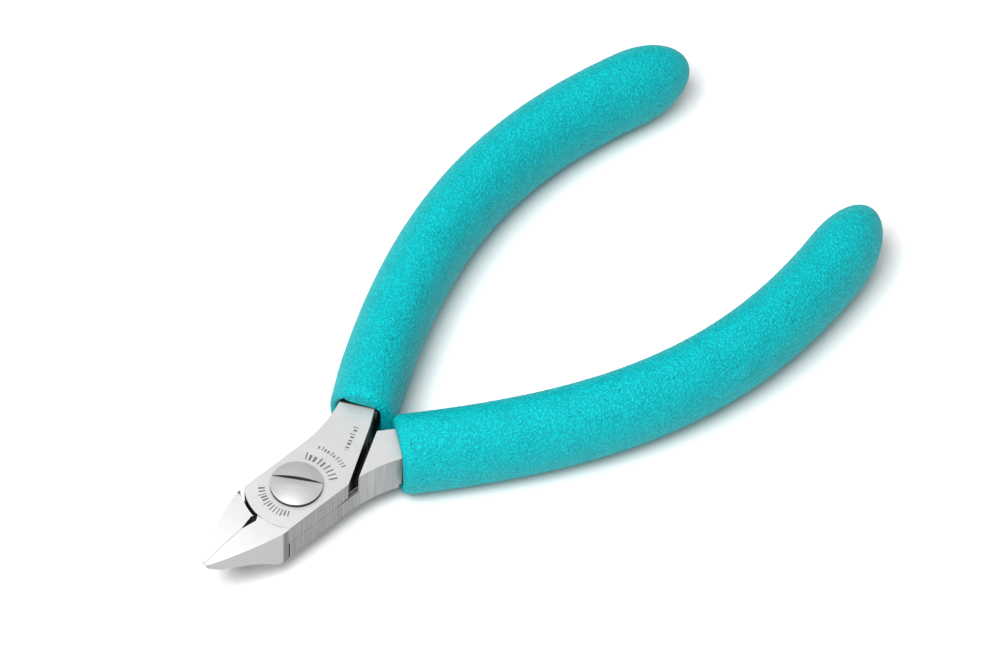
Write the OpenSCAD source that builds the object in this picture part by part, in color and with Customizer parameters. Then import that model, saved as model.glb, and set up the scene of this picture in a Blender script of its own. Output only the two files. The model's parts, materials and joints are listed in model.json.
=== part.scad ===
// Flush cutter for electronics work: lap joint, domed joint screw, foam grips.
// The parts are drawn about the pivot axis: +X to the handles, +Z up through the screw head,
// and place() then moves the origin to the bottom centre of the whole tool.

/* [Head] */
// Thickness of the closed head, both laps together
head_t = 7.2; // [6:0.1:8]
// Width across the parallel sides of the head
head_w = 9.7; // [9.2:0.1:10.4]
// Radius of the upper half's round boss, seen from above
boss_r = 7.35; // [7:0.05:7.5]
// Gap between the boss and the other jaw, on the upper side
boss_gap = 0.5; // [0.3:0.05:0.7]
// Gap between the boss and the other jaw, on the lower side
back_gap = 0.2; // [0.15:0.05:0.4]
// Gap between the two lap faces
lap_gap = 0.06; // [0.04:0.01:0.1]

/* [Jaws] */
// Distance from the pivot axis to the blunt tip
tip_x = 17.35; // [16:0.05:19]
// Half width of the closed jaws at the tip
tip_half_w = 0.9; // [0.7:0.05:1.2]
// Distance from the pivot axis to the rear end of the cutting edges
edge_start = 10.4; // [9.6:0.1:11.5]
// Gap between the closed cutting edges
bite_gap = 0.05; // [0.03:0.01:0.1]
// Half angle of the hollow under the cutting edges
bevel_a = 27; // [20:1:32]

/* [Joint] */
// Radius of the screw's shank
shank_r = 2.5; // [2.3:0.05:2.7]
// Radial clearance between the shank and the upper half
shank_play = 0.04; // [0.02:0.01:0.08]
// Radius of the screw head
screw_head_r = 3.75; // [3.6:0.05:4.1]
// Opening angle of the jaws at the stop
open_a = 10; // [6:0.5:12]

/* [Grips] */
// Thickness of a grip, across the tool's flat side
grip_t = 14; // [12:0.5:16]
// Width of a grip, in the plane of the tool
grip_w = 10.2; // [9:0.1:11]
// Length of the rounded end of a grip
cap_l = 11.4; // [8:0.2:13]
// Radius of the rim at the grip's mouth
rim_r = 1.1; // [0.8:0.1:1.8]

/* [Hidden] */

big = 100;
round_fn = 96;
half_t = head_t/2;
half_w = head_w/2;
lap_z = lap_gap/2;
over = 1;                 // how far a cut reaches past the face it opens
seat_play = 0.01;         // play of the parts that are pressed in or clamped

// The handle's centreline is one Bezier curve, from the grip's mouth to its end
grip_curve = [[16, 4], [43.2, 22.6], [64.8, 29.7], [97.85, 19.25]];
function mix(a, b, t) = a + (b - a)*t;
function bez(p, t) = len(p) == 1 ? p[0] : bez([for (i = [0:len(p) - 2]) mix(p[i], p[i + 1], t)], t);
function grip_at(t) = bez(grip_curve, t);
function grip_slope(t) = bez([for (i = [0:2]) 3*(grip_curve[i + 1] - grip_curve[i])], t);
function grip_dir(t) = grip_slope(t)/norm(grip_slope(t));
function grip_side(t) = [-grip_dir(t)[1], grip_dir(t)[0]];

// Shank: where the steel runs into the mouth of the grip
shank_bend = 22.5;        // radius of the outer edge, behind the head
shank_bend_x = 5.5;       // where that bend starts
mouth_out_x = 14.4;       // outer corner at the grip's mouth
mouth_in = [17.1, 2.25];  // inner corner at the grip's mouth
inner_bend = [14.7, 0.6]; // bend of the inner edge
inner_a = 30.7;           // direction of the inner edge
nose_l = 2.5;             // length of the shank's nose inside the grip
nose_step = 0.3;          // where its back steps down, before the mouth
wall_d = 7.93;            // distance of the full-thickness wall from the pivot axis
wall_a = 60.6;            // direction of that wall's normal
arc_steps = 16;
function shank_arc(x) = [x, half_w + shank_bend - sqrt(pow(shank_bend, 2) - pow(x - shank_bend_x, 2))];

// Bevel under the rear corner of each lap, where the halves part
corner_x0 = 3.3;
corner_a = 10;
corner_d = 1;

// Tang inside the grip
tang_w = 4.8;
tang_end_w = 3.2;
tang_lo = -2.7;
tang_hi = 2.9;
tang_end = 0.86;          // where the tang ends along the grip's curve
tang_play = 0.02;
tang_steps = 28;
function tang_half(t) = mix(tang_w, tang_end_w, t/tang_end)/2;

// Jaws: ground surfaces seen from the side are arcs
side_x = 6.9;             // where the jaws start to narrow
side_bend = 38;           // radius of the jaws' outer sides
relief_x = 8.1;           // front corner of the boss beside the relief notch
relief_y = 0.52;
jaw_root = 2.5;           // how far the jaws run in under the boss
top_r = 42.6;             // radius of the ground upper surface
top_start = [-5.4, 3.56]; // x and z where it starts
top_a = 1.8;              // its slope there
hollow_r = 11.4;          // radius of the hollow underside
hollow_from = [-7.8, -3.6];
hollow_to = [-15.6, -0.36];
tip_under = 0.6;          // height of the underside at the tip
tip_round = 0.5;
bevel_from = [-7.6, 3.2]; // x and z of the hollow's ridge under the cutting edges
bevel_fall = [-10.25, -2];
bevel_d = 8;

// Joint
head_rim = 0.6;
dome_h = 0.7;
slot_w = 1.4;
slot_depth = 0.8;
slot_a = -53;
shoulder_z = -1;          // underside of the screw's shoulder
seat_z = -1.8;            // floor of the recess in the back
back_boss_r = boss_r + 0.05;
thread_r = 2;
thread_play = 0.03;
nut_r = 3.15;
nut_play = 0.1;
nut_z = [-3.55, -2.2];
nut_slot = [1, 0.5];      // width and depth of the spanner slots
nut_washer_z = [-2.15, -1.85];
washer_r = [2.6, 3.2];
washer_t = 0.5;
washer_play = 0.05;
pin_r = 0.8;
pin_at = 5.6;
pin_z = [-2.8, 1.2];
pin_play = 0.06;
pin_slack_a = 1.5;        // free travel of the pin past the closed position
pin_end = 0.1;            // gap over the end of the pin

// Spring: one wire bent round the screw, with two straight legs
wire_r = 0.35;
spring_r = 3.85;
spring_z = -0.42;
leg_x = 8;                // where both legs end
leg_y = 4.1;
leg_span = [leg_x, leg_y - spring_r];
leg_a = atan2(leg_span[1], leg_span[0]);
wire_sides = 24;
groove_play = 0.06;
groove_end = 0.1;         // how far the groove runs past each end of a leg
groove_h = 1;

// Grip sweep
ring_sides = 28;
body_rings = 26;
cap_rings = 9;
rim_rings = 5;
cap_power = 2.2;
cap_last = 0.996;
curve_speed = 3*norm(grip_curve[1] - grip_curve[0]);
end_speed = 3*norm(grip_curve[3] - grip_curve[2]);
rim_t = rim_r/curve_speed;
cap_t = 1 - cap_l/end_speed;
rim_scale = 1.15;         // the mouth flares a little less than the rim's radius
mouth_depth = 3.2;
mouth_play = 0.4;         // above and below the shank
mouth_out = 0.8;          // beside the shank, on the outer side
mouth_in_play = 0.4;      // beside the shank, on the inner side

// [position along the curve, how far in from the full section, scale of the section]
rings = concat(
    [for (i = [0:rim_rings - 1]) let (a = 90*i/rim_rings)
        [rim_t*(1 - cos(a)), rim_r*(1 - sin(a))/rim_scale, 1]],
    [for (i = [0:body_rings]) [mix(rim_t, cap_t, i/body_rings), 0, 1]],
    [for (i = [1:cap_rings]) let (u = cap_last*sin(90*i/cap_rings))
        [mix(cap_t, 1, u), 0, sqrt(1 - pow(u, cap_power))]]);
function ring_points(r) = [for (k = [0:ring_sides - 1]) let (
    a = 360*k/ring_sides,
    p = grip_at(r[0]) + grip_side(r[0])*(grip_w/2 - r[1])*r[2]*cos(a))
    [p[0], p[1], (grip_t/2 - r[1])*r[2]*sin(a)]];
sweep = [for (r = rings) each ring_points(r)];
ring_count = len(rings);
last_ring = (ring_count - 1)*ring_sides;

// Origin: bottom centre of the whole tool
far_x = max([for (p = sweep) p[0]]);
mid_x = (far_x - tip_x)/2;
module place() translate([-mid_x, 0, grip_t/2]) children();

// ---- steel halves ----

// Lap and shank in plan, for the half whose handle lies at +Y
module lap_plan(r) {
    nose = nose_l*grip_dir(0);
    corner_x = inner_bend[0] - (inner_bend[1] + half_w)/tan(inner_a);
    arc = [for (i = [arc_steps:-1:0]) shank_arc(mix(shank_bend_x, mouth_out_x, i/arc_steps))];
    intersection() {
        circle(r = r, $fn = 2*round_fn);
        translate([-r, -half_w]) square([r + over, head_w]);
    }
    polygon(concat(
        [[0, -half_w], [corner_x, -half_w], inner_bend, mouth_in, mouth_in + nose, arc[0] + nose],
        arc, [[0, half_w]]));
}

// The part of the shank that is as thick as the whole head
module wall_plan(r) {
    difference() {
        lap_plan(r);
        rotate(wall_a) translate([wall_d - big, -big]) square([big, 2*big]);
    }
}

// Tang in plan, or its pocket when play is added
module tang_plan(play) {
    side = [for (i = [0:tang_steps]) tang_end*i/tang_steps];
    polygon(concat(
        [for (t = side) grip_at(t) - grip_side(t)*(tang_half(t) + play)],
        [for (i = [tang_steps:-1:0]) grip_at(side[i]) + grip_side(side[i])*(tang_half(side[i]) + play)]));
}

// Lap and shank of the half whose lap is uppermost
module lap(r) {
    difference() {
        translate([0, 0, lap_z]) linear_extrude(half_t - lap_z) lap_plan(r);
        lap_corner();
    }
    translate([0, 0, -half_t]) linear_extrude(half_t + lap_gap) wall_plan(r);
}

// Bevel under the lap's rear corner
module lap_corner() {
    translate([corner_x0, -half_w - over, lap_z]) rotate([0, -corner_a, 0])
        translate([0, 0, -over]) cube([wall_d - corner_x0, over + corner_d, over]);
}

module tang() {
    translate([0, 0, tang_lo]) linear_extrude(tang_hi - tang_lo) tang_plan(0);
}

// Takes the back of the shank's nose down to the tang, so that the back face ends at the mouth
module back_step() {
    t = grip_at(0);
    a = atan2(grip_dir(0)[1], grip_dir(0)[0]);
    translate([t[0], t[1], 0]) rotate(a) translate([-nose_step, -big/2, -half_t - over])
        cube([big, big, half_t + over + tang_lo]);
}

// Arc of the jaw's outer side, from the head's side to the tip
function chord_arc(a, b, r, n) = let (
    half = norm(b - a)/2,
    dir = (b - a)/(2*half),
    centre = (a + b)/2 + sqrt(r*r - half*half)*[-dir[1], dir[0]],
    a0 = atan2(a[1] - centre[1], a[0] - centre[0]),
    turn = 2*asin(half/r))
    [for (i = [0:n]) centre + r*[cos(a0 + turn*i/n), sin(a0 + turn*i/n)]];

// One jaw in plan, at -Y of the cutting line
module jaw_plan() {
    bite = bite_gap/2;
    side = chord_arc([-tip_x + tip_round, -tip_half_w], [-side_x, -half_w], side_bend, arc_steps);
    polygon(concat(
        [[-tip_x, -bite], [-tip_x, -tip_half_w + tip_round]], side,
        [[-boss_r + jaw_root, -half_w], [-boss_r + jaw_root, 0], [-boss_r, 0],
         [-relief_x, -relief_y], [-edge_start, -bite]]));
}

// Side view of the jaws, drawn in x and z
module jaw_side() {
    top_centre = top_start - top_r*[-sin(top_a), cos(top_a)];
    hollow_half = norm(hollow_to - hollow_from)/2;
    hollow_dir = (hollow_to - hollow_from)/(2*hollow_half);
    hollow_centre = (hollow_from + hollow_to)/2
        + sqrt(pow(hollow_r, 2) - pow(hollow_half, 2))*[-hollow_dir[1], hollow_dir[0]];
    difference() {
        intersection() {
            union() {
                translate(top_centre) circle(r = top_r, $fn = 4*round_fn);
                translate([top_start[0], -half_t]) square([big, head_t]);
            }
            translate([-tip_x - over, -half_t]) square([2*tip_x, head_t]);
        }
        translate(hollow_centre) circle(r = hollow_r, $fn = 2*round_fn);
        polygon([hollow_to, [-tip_x, tip_under], [-tip_x - over, tip_under],
                 [-tip_x - over, -half_t - over], [hollow_to[0], -half_t - over]]);
    }
}

// Hollow under the cutting edges: a long V that opens downwards
module jaw_hollow() {
    fall = atan2(bevel_fall[1], bevel_fall[0]) + 180;
    translate([bevel_from[0], 0, bevel_from[1]]) rotate([0, -90 - fall, 0])
        linear_extrude(norm(bevel_fall))
            polygon([[0, 0], [-bevel_d, bevel_d*tan(bevel_a)], [-bevel_d, -bevel_d*tan(bevel_a)]]);
}

// The jaw at -Y, whole height
module jaw() {
    difference() {
        intersection() {
            translate([0, 0, -half_t]) linear_extrude(head_t) jaw_plan();
            translate([0, big/2, 0]) rotate([90, 0, 0]) linear_extrude(big) jaw_side();
        }
        jaw_hollow();
    }
}

module upper_half() color("gainsboro") place() {
    difference() {
        union() {
            difference() {
                lap(boss_r);
                back_step();
            }
            tang();
            jaw();
        }
        // room for the lower half's boss
        translate([0, 0, -half_t - over])
            cylinder(r = back_boss_r + back_gap, h = half_t + over + lap_z, $fn = 2*round_fn);
        // bearing for the screw's shank
        translate([0, 0, -over]) cylinder(r = shank_r + shank_play, h = head_t, $fn = round_fn);
        // pocket for the joint washer
        translate([0, 0, -over])
            cylinder(r = washer_r[1] + washer_play, h = over + washer_t/2 + seat_play, $fn = round_fn);
        stop_slot();
    }
}

// Blind arc slot for the stop pin; its square ends stop the pin
module stop_slot() {
    r = pin_r + pin_play;
    end_a = asin(r/pin_at);
    translate([0, 0, -over]) rotate(-open_a - end_a)
        rotate_extrude(angle = open_a + pin_slack_a + 2*end_a, $fn = 2*round_fn)
            translate([pin_at - r, 0]) square([2*r, over + pin_z[1] + pin_end]);
}

module lower_half() color("gainsboro") place() {
    difference() {
        union() {
            difference() {
                rotate([180, 0, 0]) lower_lap();
                mirror([0, 1, 0]) back_step();
            }
            mirror([0, 1, 0]) {
                tang();
                jaw();
            }
        }
        // room for the upper half's boss
        translate([0, 0, -lap_z])
            cylinder(r = boss_r + boss_gap, h = half_t + over, $fn = 2*round_fn);
        // seat for the screw's shoulder and hole for its thread
        translate([0, 0, shoulder_z]) cylinder(r = shank_r + seat_play, h = half_t, $fn = round_fn);
        translate([0, 0, -half_t - over])
            cylinder(r = thread_r + thread_play, h = head_t, $fn = round_fn);
        // recess for the lock nut, in the back
        translate([0, 0, -half_t - over])
            cylinder(r = nut_r + nut_play, h = half_t + over + seat_z, $fn = round_fn);
        // pocket for the joint washer
        translate([0, 0, -washer_t/2 - seat_play])
            cylinder(r = washer_r[1] + washer_play, h = over, $fn = round_fn);
        // hole for the stop pin
        translate([pin_at, 0, pin_z[0]]) cylinder(r = pin_r + seat_play, h = half_t, $fn = round_fn);
        spring_groove();
    }
}

// The lower half's lap, before it is turned over; its boss is a little larger than the upper one
module lower_lap() {
    lap(boss_r);
    translate([0, 0, lap_z]) linear_extrude(half_t - lap_z) intersection() {
        circle(r = back_boss_r, $fn = 2*round_fn);
        translate([-back_boss_r, -half_w]) square([back_boss_r, head_w]);
    }
}

// ---- joint ----

module pivot_screw() color("silver") place() {
    dome_r = (pow(screw_head_r, 2) + pow(dome_h, 2))/(2*dome_h);
    top = half_t + head_rim + dome_h;
    difference() {
        union() {
            intersection() {
                translate([0, 0, half_t])
                    cylinder(r = screw_head_r, h = head_rim + dome_h, $fn = round_fn);
                translate([0, 0, top - dome_r]) sphere(r = dome_r, $fn = 2*round_fn);
            }
            translate([0, 0, shoulder_z])
                cylinder(r = shank_r, h = half_t - shoulder_z + head_rim, $fn = round_fn);
            translate([0, 0, nut_z[0]])
                cylinder(r = thread_r, h = shoulder_z - nut_z[0] + over, $fn = round_fn);
        }
        rotate(slot_a) translate([-screw_head_r - over, -slot_w/2, top - slot_depth])
            cube([2*(screw_head_r + over), slot_w, slot_depth + over]);
    }
}

module ring(r_in, r_out, z_lo, z_hi) {
    translate([0, 0, z_lo]) difference() {
        cylinder(r = r_out, h = z_hi - z_lo, $fn = round_fn);
        translate([0, 0, -over]) cylinder(r = r_in, h = z_hi - z_lo + 2*over, $fn = round_fn);
    }
}

module joint_washer() color("goldenrod") place()
    ring(washer_r[0], washer_r[1], -washer_t/2, washer_t/2);

module lock_nut() color("silver") place() difference() {
    ring(thread_r + thread_play, nut_r, nut_z[0], nut_z[1]);
    // spanner slots
    for (a = [45, 135]) rotate(a) translate([-big/2, -nut_slot[0]/2, nut_z[0] - over])
        cube([big, nut_slot[0], over + nut_slot[1]]);
}

module nut_washer() color("dimgray") place()
    ring(thread_r + 2*thread_play, nut_r, nut_washer_z[0], nut_washer_z[1]);

module stop_pin() color("silver") place()
    translate([pin_at, 0, pin_z[0]]) cylinder(r = pin_r, h = pin_z[1] - pin_z[0], $fn = round_fn);

module return_spring() color("gray") place() translate([0, 0, spring_z]) {
    rotate(90) rotate_extrude(angle = 180, $fn = round_fn)
        translate([spring_r, 0]) circle(r = wire_r, $fn = wire_sides);
    for (s = [-1, 1]) translate([0, s*spring_r, 0]) rotate([0, 90, s*leg_a])
        cylinder(r = wire_r, h = norm(leg_span), $fn = wire_sides);
}

// Open groove in the lower lap that the spring lies in
module spring_groove() {
    r = wire_r + groove_play;
    translate([0, 0, spring_z - r]) {
        rotate(90) rotate_extrude(angle = 180, $fn = 2*round_fn)
            translate([spring_r - r, 0]) square([2*r, groove_h]);
        for (s = [-1, 1]) translate([0, s*spring_r, 0]) rotate(s*leg_a)
            translate([-groove_end, -r, 0]) cube([norm(leg_span) + 2*groove_end, 2*r, groove_h]);
    }
}

// ---- grips ----

module grip() {
    difference() {
        polyhedron(
            points = sweep,
            faces = concat(
                [[for (k = [0:ring_sides - 1]) k]],
                [for (i = [0:ring_count - 2], k = [0:ring_sides - 1]) let (
                    a = i*ring_sides + k,
                    b = i*ring_sides + (k + 1)%ring_sides)
                    [a, a + ring_sides, b + ring_sides, b]],
                [[for (k = [ring_sides - 1:-1:0]) last_ring + k]]));
        translate([0, 0, tang_lo - tang_play]) linear_extrude(tang_hi - tang_lo + 2*tang_play)
            tang_plan(tang_play);
        mouth();
    }
}

// Slot in the grip's mouth that the shank's nose sits in
module mouth() {
    a = atan2(grip_dir(0)[1], grip_dir(0)[0]);
    p = grip_at(0);
    nose_w = norm(shank_arc(mouth_out_x) - mouth_in);
    translate([p[0], p[1], -half_t - mouth_play]) rotate(a)
        translate([-over, -nose_w/2 - mouth_in_play, 0])
            cube([mouth_depth + over, nose_w + mouth_in_play + mouth_out, head_t + 2*mouth_play]);
}

module upper_grip() color("darkturquoise") place() grip();
module lower_grip() color("darkturquoise") place() mirror([0, 1, 0]) grip();

upper_half();
lower_half();
pivot_screw();
joint_washer();
lock_nut();
nut_washer();
stop_pin();
return_spring();
upper_grip();
lower_grip();
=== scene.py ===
"""Looks for the flush cutter: foam grips, satin ground steel and a plain pale studio.

All lengths are in metres in the CAD frame: +X to the handles, +Z up, the tool lying on z = 0.
"""
import json
import math

import bmesh
import bpy
from mathutils import Matrix, Vector, noise


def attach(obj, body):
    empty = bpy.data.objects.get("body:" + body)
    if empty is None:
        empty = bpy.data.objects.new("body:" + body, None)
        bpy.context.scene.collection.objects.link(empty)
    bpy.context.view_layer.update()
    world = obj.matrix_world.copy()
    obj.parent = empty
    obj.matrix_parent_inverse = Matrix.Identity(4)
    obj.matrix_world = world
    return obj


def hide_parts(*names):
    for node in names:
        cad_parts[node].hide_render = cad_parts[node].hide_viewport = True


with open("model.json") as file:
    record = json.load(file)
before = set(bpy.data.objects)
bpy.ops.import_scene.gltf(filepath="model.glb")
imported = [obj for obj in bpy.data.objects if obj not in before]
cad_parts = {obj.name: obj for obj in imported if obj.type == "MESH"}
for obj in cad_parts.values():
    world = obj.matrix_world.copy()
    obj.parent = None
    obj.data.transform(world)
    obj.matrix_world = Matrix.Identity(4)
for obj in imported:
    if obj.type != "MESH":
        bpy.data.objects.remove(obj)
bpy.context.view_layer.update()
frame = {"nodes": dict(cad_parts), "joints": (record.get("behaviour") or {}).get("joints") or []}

MM = 0.001
PIVOT = Vector(frame["joints"][0]["pos_m"])
HALF_T = 3.6 * MM                      # half the thickness of the closed head
HEAD_HALF_W = 4.85 * MM
BOSS_R = (7.0 * MM, 8.2 * MM)          # the arcs of the boss and of its pocket lie between these
GAP_X = 5.6 * MM                       # the gap beside the shank starts behind this
JAW_X = -6.9 * MM                      # the jaws are ahead of this
MOUTH_X = 17.0 * MM                    # the steel behind this is inside the grip
GRIP_CURVE = [Vector((16, 4)) * MM, Vector((43.2, 22.6)) * MM,
              Vector((64.8, 29.7)) * MM, Vector((97.85, 19.25)) * MM]


# ---- small helpers ----

def link(obj):
    bpy.context.scene.collection.objects.link(obj)
    return obj


def mesh_piece(name, verts, faces, smooth=True):
    mesh = bpy.data.meshes.new(name)
    mesh.from_pydata([tuple(v) for v in verts], [], faces)
    mesh.validate()
    mesh.update()
    if smooth:
        mesh.polygons.foreach_set("use_smooth", [True] * len(mesh.polygons))
    return link(bpy.data.objects.new(name, mesh))


def paint(obj, material):
    obj.data.materials.clear()
    obj.data.materials.append(material)


def bezier(points, t):
    while len(points) > 1:
        points = [a.lerp(b, t) for a, b in zip(points, points[1:])]
    return points[0]


def curve_frame(t):
    """Point and unit sideways direction on the grip's centreline, seen from the pivot."""
    slope = bezier([b - a for a, b in zip(GRIP_CURVE, GRIP_CURVE[1:])], t).normalized()
    return bezier(GRIP_CURVE, t), Vector((-slope.y, slope.x))


def grey(level, warmth=0.0):
    return (level, level, level - warmth, 1)


class Nodes:
    """A short way to write a procedural material."""

    def __init__(self, name):
        self.material = bpy.data.materials.new(name)
        self.material.use_nodes = True
        self.tree = self.material.node_tree
        self.shader = self.tree.nodes["Principled BSDF"]
        self.coords = self.tree.nodes.new("ShaderNodeTexCoord").outputs["Object"]

    def add(self, kind, inputs=None, **settings):
        node = self.tree.nodes.new("ShaderNode" + kind)
        for key, value in settings.items():
            setattr(node, key, value)
        for key, value in (inputs or {}).items():
            self.put(node.inputs[key], value)
        return node

    def put(self, socket, value):
        if isinstance(value, bpy.types.NodeSocket):
            self.tree.links.new(value, socket)
        else:
            socket.default_value = value

    def set(self, **values):
        for key, value in values.items():
            self.put(self.shader.inputs[key.replace("_", " ")], value)

    def math(self, operation, a, b=0.0):
        return self.add("Math", {0: a, 1: b}, operation=operation).outputs[0]

    def ramp(self, factor, lo, hi, out_lo=0.0, out_hi=1.0):
        node = self.add("MapRange", {"Value": factor, "From Min": lo, "From Max": hi,
                                     "To Min": out_lo, "To Max": out_hi})
        return node.outputs["Result"]

    def within(self, value, lo, hi):
        """1 where the value lies between the two others, 0 elsewhere."""
        return self.math("MULTIPLY", self.math("GREATER_THAN", value, lo),
                         self.math("LESS_THAN", value, hi))

    def split(self, vector):
        """The x, y and z of a vector."""
        return self.add("SeparateXYZ", {"Vector": vector}).outputs

    def upright(self):
        """The z of the surface's own direction: 1 on a top face, 0 on a wall."""
        return self.split(self.add("NewGeometry").outputs["Normal"])["Z"]

    def scaled(self, scale):
        return self.add("Mapping", {"Vector": self.coords, "Scale": scale}).outputs[0]

    def noise(self, vector, scale, detail=2.0, roughness=0.5):
        return self.add("TexNoise", {"Vector": vector, "Scale": scale, "Detail": detail,
                                     "Roughness": roughness}).outputs["Fac"]

    def blend(self, factor, a, b):
        """A number between two others."""
        return self.add("Mix", {0: factor, 2: a, 3: b}).outputs[0]

    def mix(self, factor, a, b):
        """A colour between two others."""
        return self.add("Mix", {0: factor, 6: a, 7: b}, data_type="RGBA").outputs[2]

    def bump(self, height, strength, distance):
        return self.add("Bump", {"Height": height, "Strength": strength, "Distance": distance}).outputs[0]


# ---- camera, light and floor ----

VIEW_ELEVATION = math.radians(53.4)
VIEW_HEADING = math.radians(43.46)     # direction that the camera looks along, from +X
VIEW_ROLL = math.radians(3.5)
VIEW_DISTANCE = 0.7156
VIEW_AIM = (41.8 * MM, 1.9 * MM)       # from the pivot, at the middle of the head's thickness
LENS_MM, SENSOR_MM = 176.9652, 36.0
CLIP = (0.01, 10.0)
SKY_LOW, SKY_TOP = 0.32, 0.85          # strength of the sky at the horizon and overhead
SKY_RISE = 3.0                         # how late the sky's strength rises towards the top
KEY_W, KEY_SIZE = 7.2, 0.44
KEY_AIM = Vector((0, 0, 5 * MM))
KEY_PLACE = (-0.2, -0.26, 0.66)        # from KEY_AIM: to the view's right, along the view, and up
FLOOR_HALF = 3.0


def view_axes():
    """Forward, right and up of the photographer's view."""
    ce, se = math.cos(VIEW_ELEVATION), math.sin(VIEW_ELEVATION)
    ch, sh = math.cos(VIEW_HEADING), math.sin(VIEW_HEADING)
    forward = Vector((ch * ce, sh * ce, -se))
    right = Vector((sh, -ch, 0))
    up = right.cross(forward)
    cr, sr = math.cos(VIEW_ROLL), math.sin(VIEW_ROLL)
    return forward, right * cr + up * sr, up * cr - right * sr


def make_camera():
    forward, right, up = view_axes()
    data = bpy.data.cameras.new("camera")
    data.sensor_width = SENSOR_MM
    data.lens = LENS_MM
    data.clip_start, data.clip_end = CLIP
    camera = link(bpy.data.objects.new("camera", data))
    aim = PIVOT + Vector((VIEW_AIM[0], VIEW_AIM[1], 0))
    turn = Matrix((right, up, -forward)).transposed()
    camera.matrix_world = Matrix.Translation(aim - forward * VIEW_DISTANCE) @ turn.to_4x4()
    bpy.context.scene.camera = camera


def make_sky():
    """A white sky, stronger overhead than at the horizon."""
    world = bpy.data.worlds.new("studio")
    world.use_nodes = True
    tree = world.node_tree
    background = tree.nodes["Background"]
    background.inputs["Color"].default_value = grey(1)
    split = tree.nodes.new("ShaderNodeSeparateXYZ")
    tree.links.new(tree.nodes.new("ShaderNodeTexCoord").outputs["Generated"], split.inputs[0])
    height = tree.nodes.new("ShaderNodeMath")
    height.operation = "POWER"
    height.use_clamp = True
    height.inputs[1].default_value = SKY_RISE
    tree.links.new(split.outputs["Z"], height.inputs[0])
    strength = tree.nodes.new("ShaderNodeMapRange")
    strength.inputs["To Min"].default_value = SKY_LOW
    strength.inputs["To Max"].default_value = SKY_TOP
    tree.links.new(height.outputs[0], strength.inputs["Value"])
    tree.links.new(strength.outputs[0], background.inputs["Strength"])
    bpy.context.scene.world = world


def make_key():
    """The one large soft light, above and to the left of the camera."""
    forward, right, _ = view_axes()
    across = Vector((right.x, right.y, 0)).normalized()
    ahead = Vector((forward.x, forward.y, 0)).normalized()
    data = bpy.data.lights.new("key", "AREA")
    data.shape = "SQUARE"
    data.size = KEY_SIZE
    data.energy = KEY_W
    lamp = link(bpy.data.objects.new("key", data))
    lamp.location = (KEY_AIM + across * KEY_PLACE[0] + ahead * KEY_PLACE[1]
                     + Vector((0, 0, KEY_PLACE[2])))
    lamp.rotation_euler = (KEY_AIM - lamp.location).to_track_quat("-Z", "Y").to_euler()


def make_floor():
    corners = [(x * FLOOR_HALF, y * FLOOR_HALF, 0) for x, y in ((-1, -1), (1, -1), (1, 1), (-1, 1))]
    floor = mesh_piece("floor", corners, [(0, 1, 2, 3)], smooth=False)
    n = Nodes("pale_floor")
    grain = n.noise(n.coords, 900.0, 4.0)
    n.set(Base_Color=n.mix(grain, grey(0.84), grey(0.87)), Roughness=0.9, Specular_IOR_Level=0.1)
    paint(floor, n.material)


# ---- materials; the scale of a noise is in cells per metre ----

MOST = (0.3, 0.7)                      # nearly all values of a noise lie between these
TEAL_DEEP, TEAL_CROWN = (0.0, 0.325, 0.355, 1), (0.0, 0.59, 0.635, 1)
TEAL_CLOUD, TEAL_PIT = (0.0, 0.54, 0.58, 1), (0.0, 0.14, 0.16, 1)
# near black: painted shade, put inside the grips' mouths and in the joint's gaps
SHADE_BLACK = grey(0.012)
FINE_RELIEF = 0.02 * MM                # depth of the grinding marks
FOAM_RELIEF = 0.2 * MM


def foam_material():
    n = Nodes("teal_foam")
    cells = n.add("TexVoronoi", {"Vector": n.coords, "Scale": 3300.0}, feature="SMOOTH_F1")
    crown = n.ramp(cells.outputs["Distance"], 0.08, 0.55, 1.0, 0.0)
    wander = n.noise(n.coords, 2900.0, 2.0, 0.5)
    fine = n.noise(n.coords, 5200.0, 2.0, 0.6)
    cloud = n.noise(n.coords, 320.0, 3.0, 0.5)
    pits = n.ramp(n.noise(n.coords, 1500.0, 1.0, 0.5), 0.70, 0.76)
    height = n.math("ADD", n.math("MULTIPLY", crown, 0.55), n.math("MULTIPLY", wander, 0.9))
    height = n.math("ADD", height, n.math("MULTIPLY", fine, 0.6))
    base = n.mix(n.ramp(height, 0.78, 1.36), TEAL_DEEP, TEAL_CROWN)
    base = n.mix(n.ramp(cloud, 0.35, 0.7, 0.0, 0.2), base, TEAL_CLOUD)
    base = n.mix(n.math("MULTIPLY", pits, 0.6), base, TEAL_PIT)
    n.set(Base_Color=base, Roughness=0.5, Specular_IOR_Level=0.12)
    n.set(Sheen_Weight=0.05, Sheen_Roughness=0.3, Sheen_Tint=(0.0, 1.0, 1.0, 1))
    n.set(Normal=n.bump(height, 1.0, FOAM_RELIEF))
    return n.material


MARK_LEAN = math.radians(26)           # how far the row on the shank leans from +X
MARK_FILL = (0.28, 0.62)               # the least and most of its pitch that a bar takes up
MARK_SHORTER = 0.25 * MM               # about a third of the bars are this much shorter


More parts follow.
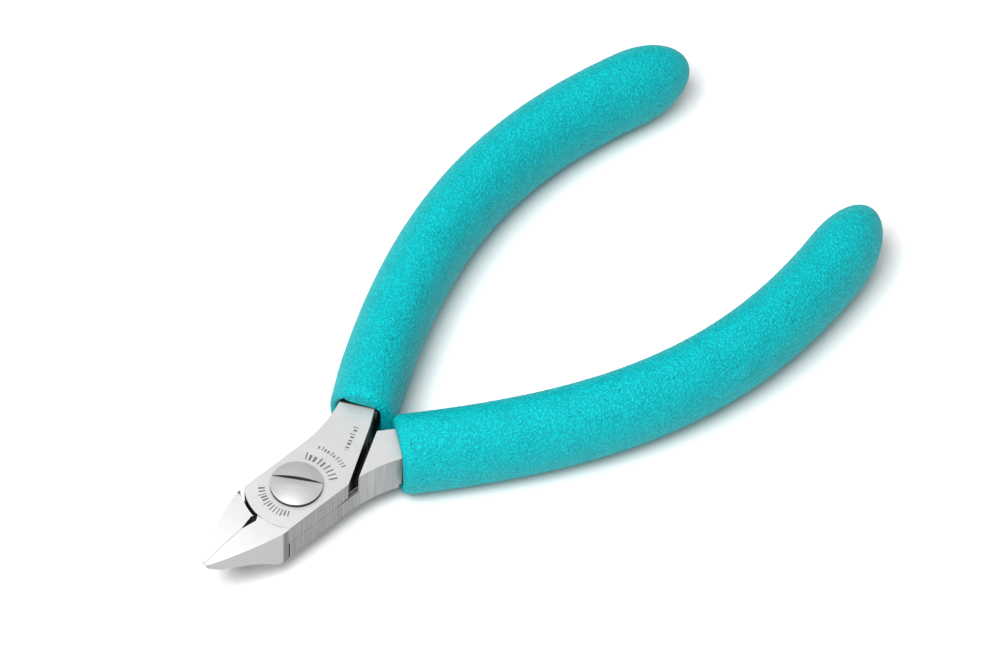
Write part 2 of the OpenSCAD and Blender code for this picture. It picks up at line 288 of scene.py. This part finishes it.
def marks_mask(n):
    """Generic etched marks: rows of short bars round the screw and along the shank."""
    place = n.split(n.add("VectorMath", {0: n.coords, 1: tuple(PIVOT)}, operation="SUBTRACT").outputs[0])
    x, y = place["X"], place["Y"]
    flat = n.add("CombineXYZ", {"X": x, "Y": y}).outputs[0]
    r = n.add("VectorMath", {0: flat}, operation="LENGTH").outputs["Value"]
    front = n.math("ARCTAN2", y, n.math("MULTIPLY", x, -1.0))
    rear = n.math("ARCTAN2", y, x)
    c, s = math.cos(MARK_LEAN), math.sin(MARK_LEAN)
    along = n.math("ADD", n.math("MULTIPLY", x, c), n.math("MULTIPLY", y, s))
    up = n.math("SUBTRACT", n.math("MULTIPLY", y, c), n.math("MULTIPLY", x, s))
    rows = (                           # a row runs along its first value and is as tall as its third
        (front, (-0.62, 0.74), r, (4.45 * MM, 5.65 * MM), 0.105),
        (rear, (-0.62, 0.60), r, (4.7 * MM, 5.95 * MM), 0.135),
        (rear, (-0.30, 0.42), r, (7.1 * MM, 7.85 * MM), 0.072),
        (along, (8.3 * MM, 13.0 * MM), up, (-4.55 * MM, -3.75 * MM), 0.62 * MM))
    total = 0.0
    for coord, span, height, rise, pitch in rows:
        step = n.math("DIVIDE", coord, pitch)
        chance = n.add("TexWhiteNoise", {"W": n.math("FLOOR", step)}, noise_dimensions="1D").outputs["Value"]
        bar = n.math("LESS_THAN", n.math("FRACT", step), n.ramp(chance, 0.0, 1.0, *MARK_FILL))
        top = n.ramp(chance, 0.35, 0.4, rise[1], rise[1] - MARK_SHORTER)
        inside = n.math("MULTIPLY", n.within(coord, *span), n.within(height, rise[0], top))
        total = n.math("MAXIMUM", total, n.math("MULTIPLY", bar, inside))
    return total


def inside_grip(n, place):
    """1 on the steel that is past the mouth of a grip, 0 in front of it; there the steel gets painted shade,
    near black, under the grip's lip.
    """
    across = curve_frame(0)[1]
    x = n.math("SUBTRACT", place["X"], PIVOT.x + GRIP_CURVE[0].x)
    y = n.math("SUBTRACT", n.math("ABSOLUTE", place["Y"]), GRIP_CURVE[0].y)
    past = n.math("ADD", n.math("MULTIPLY", x, across.y), n.math("MULTIPLY", y, -across.x))
    return n.ramp(past, 0.0, 0.25 * MM)


def steel_material():
    """Satin ground tool steel, with upright grinding lines on the side walls."""
    n = Nodes("ground_steel")
    up = n.upright()
    flat = n.ramp(n.math("ABSOLUTE", up), 0.75, 0.92)
    lines = n.noise(n.scaled((1, 1, 0.02)), 5200.0, 3.0, 0.65)
    grain = n.noise(n.coords, 7000.0, 3.0, 0.6)
    cloud = n.noise(n.coords, 420.0, 3.0, 0.5)
    place = n.split(n.coords)
    x = place["X"]

    streaks = n.ramp(lines, *MOST)
    # the walls' colour is painted darker than the top's: painted shade; the streaks are the grinding lines
    wall = n.mix(streaks, grey(0.16), grey(0.35, 0.003))
    # behind the gap the walls are painted lighter: painted light on that side of the shank
    painted_lit_wall = n.mix(streaks, grey(0.34), grey(0.54, 0.005))
    wall = n.mix(n.ramp(x, PIVOT.x + GAP_X, PIVOT.x + 8.5 * MM, 0.0, 0.5), wall, painted_lit_wall)
    # a darker band on the walls just behind the jaws: painted shade of the concave corner there
    corner = n.math("MULTIPLY", n.ramp(x, PIVOT.x - 7.0 * MM, PIVOT.x - 6.5 * MM),
                    n.ramp(x, PIVOT.x - 6.2 * MM, PIVOT.x - 5.5 * MM, 0.5, 0.0))
    wall = n.mix(corner, wall, grey(0.05))

    top = n.mix(n.ramp(grain, *MOST), grey(0.55, 0.003), grey(0.64, 0.003))
    top = n.mix(n.ramp(cloud, 0.35, 0.7, 0.0, 0.3), top, grey(0.50))
    # the top is painted lighter towards the jaws: a painted highlight
    top = n.mix(n.ramp(x, PIVOT.x - 7.0 * MM, PIVOT.x + 3.0 * MM, 0.12, 0.0), top, grey(1))
    marks = n.math("MULTIPLY", marks_mask(n), n.math("GREATER_THAN", up, 0.99))
    top = n.mix(marks, top, grey(0.17))

    # past a grip's mouth the base colour is painted near black: painted shade under the grip's lip
    n.set(Base_Color=n.mix(inside_grip(n, place), n.mix(flat, wall, top), SHADE_BLACK))
    n.set(Metallic=n.ramp(flat, 0.0, 1.0, 1.0, 0.45))
    n.set(Roughness=n.blend(flat, n.ramp(lines, *MOST, 0.38, 0.52), n.ramp(grain, *MOST, 0.36, 0.44)))
    n.set(Normal=n.bump(n.blend(flat, lines, grain), 0.25, FINE_RELIEF))
    return n.material


def polished_material():
    """The fine finish of the jaws."""
    n = Nodes("polished_steel")
    flat = n.ramp(n.math("ABSOLUTE", n.upright()), 0.5, 0.8)
    lines = n.noise(n.scaled((0.05, 1, 1)), 4200.0, 3.0, 0.6)
    # the jaws' sides are painted darker than their tops: painted shade; the lines are the polishing marks
    side = n.mix(lines, grey(0.38, 0.002), grey(0.44, 0.002))
    top = n.mix(lines, grey(0.555, 0.002), grey(0.585, 0.002))
    n.set(Base_Color=n.mix(flat, side, top), Metallic=n.ramp(flat, 0.0, 1.0, 1.0, 0.3))
    n.set(Roughness=n.ramp(lines, *MOST, 0.40, 0.46), Normal=n.bump(lines, 0.05, FINE_RELIEF))
    return n.material


def dark_material():
    """Painted shade: near-black steel on the faces inside the gaps of the joint, where shade falls. The
    lap's rim and the top of the gap's wall beside the mouth are painted lighter: painted light where the
    shade thins."""
    n = Nodes("painted_shade_steel")
    place = n.split(n.coords)
    flat = n.math("GREATER_THAN", n.math("ABSOLUTE", n.upright()), 0.9)
    # the lap's rim near its outer edge is painted lighter: less painted shade where the gap opens
    rim = n.math("MULTIPLY", n.ramp(n.math("ABSOLUTE", place["Y"]), 3.9 * MM, 4.7 * MM), flat)
    lit = n.math("MULTIPLY", n.ramp(place["X"], PIVOT.x + 10.5 * MM, PIVOT.x + 14.5 * MM),
                 n.ramp(place["Z"], PIVOT.z + 1.0 * MM, PIVOT.z + HALF_T))
    grain = n.noise(n.coords, 5000.0, 3.0, 0.6)
    # near black with grain: painted shade in the gaps, lighter where painted light reaches
    deep = n.mix(lit, n.mix(grain, SHADE_BLACK, grey(0.03)), grey(0.45))
    rim_light = n.mix(grain, grey(0.10), grey(0.42))
    n.set(Base_Color=n.mix(rim, deep, rim_light), Metallic=0.6, Roughness=0.55)
    n.set(Normal=n.bump(grain, 0.2, 1.5 * FINE_RELIEF))
    return n.material


def turned_material(name, colour, rough, metal=1.0):
    """Turned or drawn metal, with faint lines along Y."""
    n = Nodes(name)
    grain = n.noise(n.coords, 3000.0, 4.0, 0.6)
    scratch = n.noise(n.scaled((1, 0.08, 1)), 2600.0, 3.0, 0.6)
    darker = tuple(0.82 * c for c in colour[:3]) + (1,)
    n.set(Base_Color=n.mix(scratch, darker, colour), Metallic=metal)
    n.set(Roughness=n.ramp(grain, *MOST, rough * 0.8, rough * 1.2))
    n.set(Normal=n.bump(scratch, 0.15, FINE_RELIEF))
    return n.material


# ---- steel pieces ----

EDGE_W = 0.2 * MM                      # width of the broken edge round the back
FINE_EDGE = 0.3                        # the other edges, as a share of that
SHARP = math.radians(28)               # an edge that turns less than this is part of a curve
FLAT_ANGLE = math.radians(0.8)
SAME_PLACE = 0.0002 * MM
# DARK is painted shade: near-black steel on faces that lie in the gaps and hollows of the joint
GROUND, DARK, POLISHED = 0, 1, 2
NOTCH = (-10.5 * MM, -7.2 * MM, 0.56 * MM)             # its front, its back and its half width
ARCH_X = JAW_X + 1.6 * MM              # the jaws' arched top starts ahead of this
# the screw's rim and slot walls beyond this radius get painted shade
SCREW_SHADE_R = 3.8 * MM                # the screw's rim and slot are farther than this from the pivot
NEARLY = 0.9                           # as a share of a length, or of a unit direction


def half_finish_and_shade(hand):
    """A function that gives the finish of a face of one half, with DARK, painted shade, on faces in the
    joint's gaps, its notch and its hollows; hand is +1 if its handle is at +Y.
    """
    def finish(centre, normal):
        p = centre - PIVOT
        r = math.hypot(p.x, p.y)
        if abs(normal.z) > NEARLY:
            if abs(p.z) < 0.5 * HALF_T and p.x > -BOSS_R[1]:
                return DARK
            return POLISHED if p.x < ARCH_X and normal.z < 0.99999 else GROUND
        if abs(normal.z) < 0.5:
            radial = abs(p.x * normal.x + p.y * normal.y) / r > NEARLY
            if radial and p.x < 0 and BOSS_R[0] < r < BOSS_R[1] and p.z < NEARLY * HALF_T:
                return DARK
            if p.x > GAP_X and hand * normal.y < -0.5:
                return DARK
            if r < BOSS_R[0] and abs(p.y) < NEARLY * HEAD_HALF_W:
                return DARK
            if NOTCH[0] < p.x < NOTCH[1] and abs(p.y) < NOTCH[2]:
                return DARK
        return POLISHED if p.x < JAW_X else GROUND
    return finish


def screw_finish_and_shade(centre, normal):
    """The rim under the dome and the walls of the slot are painted dark: painted shade."""
    return DARK if abs(normal.z) < 0.3 and (centre - PIVOT).length > SCREW_SHADE_R else GROUND


def edge_weight(edge):
    """A sharp edge's share of the full broken edge, where 0 keeps it sharp; None if it isn't sharp."""
    faces = edge.link_faces
    if len(faces) != 2 or edge.calc_face_angle(0) < SHARP:
        return None
    p = (edge.verts[0].co + edge.verts[1].co) / 2 - PIVOT
    dark = any(f.material_index == DARK for f in faces)
    bite = p.x < NOTCH[1] + 0.2 * MM and abs(p.y) < NOTCH[2] + 0.1 * MM
    step = p.x < 0 and BOSS_R[0] < math.hypot(p.x, p.y) < BOSS_R[1]
    if dark or bite or step or p.x > MOUTH_X:
        return 0.0
    if p.z < -NEARLY * HALF_T and p.x > JAW_X:
        return 1.0
    return FINE_EDGE


def break_edges(piece):
    bevel = piece.modifiers.new("edges", "BEVEL")
    bevel.width = EDGE_W
    bevel.segments = 2
    bevel.limit_method = "WEIGHT"
    bevel.use_clamp_overlap = False
    weigh = piece.modifiers.new("flat_faces", "WEIGHTED_NORMAL")
    weigh.mode = "FACE_AREA"
    weigh.weight = 100
    weigh.keep_sharp = True


def make_finished(node, body, materials, finish):
    """A copy of a CAD node with its sharp edges broken and its faces finished as on the tool, with painted
    shade on faces in the gaps and hollows.
    """
    bm = bmesh.new()
    bm.from_mesh(frame["nodes"][node].data)
    bmesh.ops.remove_doubles(bm, verts=bm.verts, dist=SAME_PLACE)
    bmesh.ops.dissolve_limit(bm, angle_limit=FLAT_ANGLE, verts=bm.verts, edges=bm.edges)
    bm.normal_update()
    for face in bm.faces:
        face.smooth = True
        face.material_index = finish(face.calc_center_median(), face.normal)
    layer = bm.edges.layers.float.new("bevel_weight_edge")
    for edge in bm.edges:
        weight = edge_weight(edge)
        if weight is not None:
            edge[layer] = weight
            edge.smooth = weight > 0
    mesh = bpy.data.meshes.new(node + "_finished")
    bm.to_mesh(mesh)
    bm.free()
    for material in materials:
        mesh.materials.append(material)
    piece = link(bpy.data.objects.new(node + "_finished", mesh))
    break_edges(piece)
    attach(piece, body)
    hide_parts(node)


# ---- grips ----

GRIP_W, GRIP_T = 5.1 * MM, 7.0 * MM                    # half width and half height
CAP_L, RIM_R = 11.4 * MM, 1.1 * MM                     # the closed end and the rim of the mouth
CAP_POWER = 2.2                                        # 2 is an ellipse, more is blunter
CAP_END = 0.9985                                       # the cap's last ring, as a share of its length
RIM_FLATTER = 1.15                                     # the rim is this much shallower than round
LIP_R = RIM_R * 0.3                                    # the inner lip of the mouth
POCKET_W, POCKET_T = 3.22 * MM, 4.25 * MM              # half width and half height
POCKET_SIDE, POCKET_DEPTH = 0.19 * MM, 3.0 * MM
MOUTH_SLANT = (0.1 * MM, -0.3 * MM, 0.2 * MM)          # shift of the mouth: whole, sideways, upwards
UPPER_TRIM = -1.7 * MM                                 # the upper grip's outer lip is cut back
UPPER_TUCK = 0.4 * MM                                  # and drawn in
SLANT_RINGS = 60                                       # rings over which the slant fades out
ROUND, SQUARE = 2.0, 6.0                               # powers of a ring's outline
AROUND, ALONG = 200, 400
POCKET_STEPS, LIP_STEPS, RIM_STEPS, CAP_STEPS = 12, 4, 10, 36
PEBBLE_H = 0.05 * MM
PEBBLE_SCALE = 1900.0                                  # pebbles per metre
PEBBLE_MEAN = 0.45


def grip_rings():
    """(t, half width, half height, outline power, sideways offset, pebbles' share) of each ring."""
    speed0 = 3 * (GRIP_CURVE[1] - GRIP_CURVE[0]).length
    speed1 = 3 * (GRIP_CURVE[3] - GRIP_CURVE[2]).length
    rim_t, lip_t, cap_t = RIM_R / speed0, LIP_R / speed0, 1 - CAP_L / speed1
    rings = []
    for i in range(POCKET_STEPS):                      # from the pocket's floor outwards
        t = (POCKET_DEPTH - LIP_R) / speed0 * (1 - i / POCKET_STEPS) + lip_t
        rings.append((t, POCKET_W, POCKET_T, SQUARE, POCKET_SIDE, 0.2))
    for i in range(LIP_STEPS + 1):
        a = math.pi / 2 * i / LIP_STEPS
        grow = LIP_R * (1 - math.cos(a))
        t = lip_t * (1 - math.sin(a))
        rings.append((t, POCKET_W + grow, POCKET_T + grow, SQUARE, POCKET_SIDE, 0.4))
    for i in range(RIM_STEPS + 1):
        a = math.pi / 2 * i / RIM_STEPS
        inset = RIM_R * (1 - math.sin(a)) / RIM_FLATTER
        rings.append((rim_t * (1 - math.cos(a)), GRIP_W - inset, GRIP_T - inset, ROUND, 0.0, 1.0))
    for i in range(1, ALONG):
        rings.append((rim_t + (cap_t - rim_t) * i / ALONG, GRIP_W, GRIP_T, ROUND, 0.0, 1.0))
    for i in range(CAP_STEPS + 1):
        u = CAP_END * math.sin(math.pi / 2 * i / CAP_STEPS)
        s = math.sqrt(1 - u ** CAP_POWER)
        rings.append((cap_t + (1 - cap_t) * u, GRIP_W * s, GRIP_T * s, ROUND, 0.0, min(1.0, 3 * s)))
    return rings


def pebbles(p):
    """Height of the foam's skin at a point, about 0."""
    near = noise.voronoi(p * PEBBLE_SCALE)[0][0]
    return max(0.0, 1.0 - 1.5 * near) - PEBBLE_MEAN + 0.35 * noise.noise(p * PEBBLE_SCALE * 0.35)


def grip_verts(mirror):
    """The rings' points; mirror is +1 for the upper grip and -1 for the lower one."""
    verts = []
    for index, (t, w, h, power, offset, share) in enumerate(grip_rings()):
        centre, across = curve_frame(t)
        ahead = Vector((across.y, -across.x))
        slant = max(0.0, 1 - index / SLANT_RINGS)
        for k in range(AROUND):
            a = 2 * math.pi * k / AROUND
            c, s = math.cos(a), math.sin(a)
            c = math.copysign(abs(c) ** (2 / power), c)
            s = math.copysign(abs(s) ** (2 / power), s)
            shift = slant * (MOUTH_SLANT[0] + MOUTH_SLANT[1] * c + MOUTH_SLANT[2] * s)
            tuck = 0.0
            if mirror > 0:
                shift += slant * UPPER_TRIM * max(0.0, c) ** 4
                tuck = slant * UPPER_TUCK * max(0.0, c)
            flat = centre + across * (w * c + offset - tuck) - ahead * shift
            p = Vector((flat.x, mirror * flat.y, h * s)) + PIVOT
            out = Vector((across.x * c * h, mirror * across.y * c * h, s * w)).normalized()
            p += out * (PEBBLE_H * share * pebbles(p))
            verts.append((p.x, p.y, max(p.z, 0.0)))
    return verts


def make_grip(node, body, material, mirror):
    verts = grip_verts(mirror)
    last = len(verts) - AROUND
    faces = []
    for start in range(0, last, AROUND):
        for k in range(AROUND):
            a, b = start + k, start + (k + 1) % AROUND
            faces.append((a, b, b + AROUND, a + AROUND))
    faces.append(tuple(range(AROUND - 1, -1, -1)))
    faces.append(tuple(range(last, last + AROUND)))
    if mirror < 0:
        faces = [face[::-1] for face in faces]
    grip = mesh_piece(node + "_foam", verts, faces)
    paint(grip, material)
    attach(grip, body)
    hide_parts(node)


# ---- the tool ----

make_camera()
make_sky()
make_key()
make_floor()
bpy.context.scene.view_settings.view_transform = "Standard"

foam = foam_material()
screw = turned_material("turned_steel", grey(0.45), 0.42, 0.3)
spring = turned_material("drawn_wire", (0.5, 0.5, 0.51, 1), 0.35)
bronze = turned_material("bronze_ring", (0.62, 0.46, 0.26, 1), 0.4)
dark = dark_material()
half_materials = [steel_material(), dark, polished_material()]

make_finished("upper_half", "upper", half_materials, half_finish_and_shade(1))
make_finished("lower_half", "lower", half_materials, half_finish_and_shade(-1))
make_finished("pivot_screw", "lower", [screw, dark], screw_finish_and_shade)
for node, material in (("lock_nut", screw), ("stop_pin", screw), ("nut_washer", spring),
                       ("return_spring", spring), ("joint_washer", bronze)):
    paint(frame["nodes"][node], material)

make_grip("upper_grip", "upper", foam, 1)
make_grip("lower_grip", "lower", foam, -1)
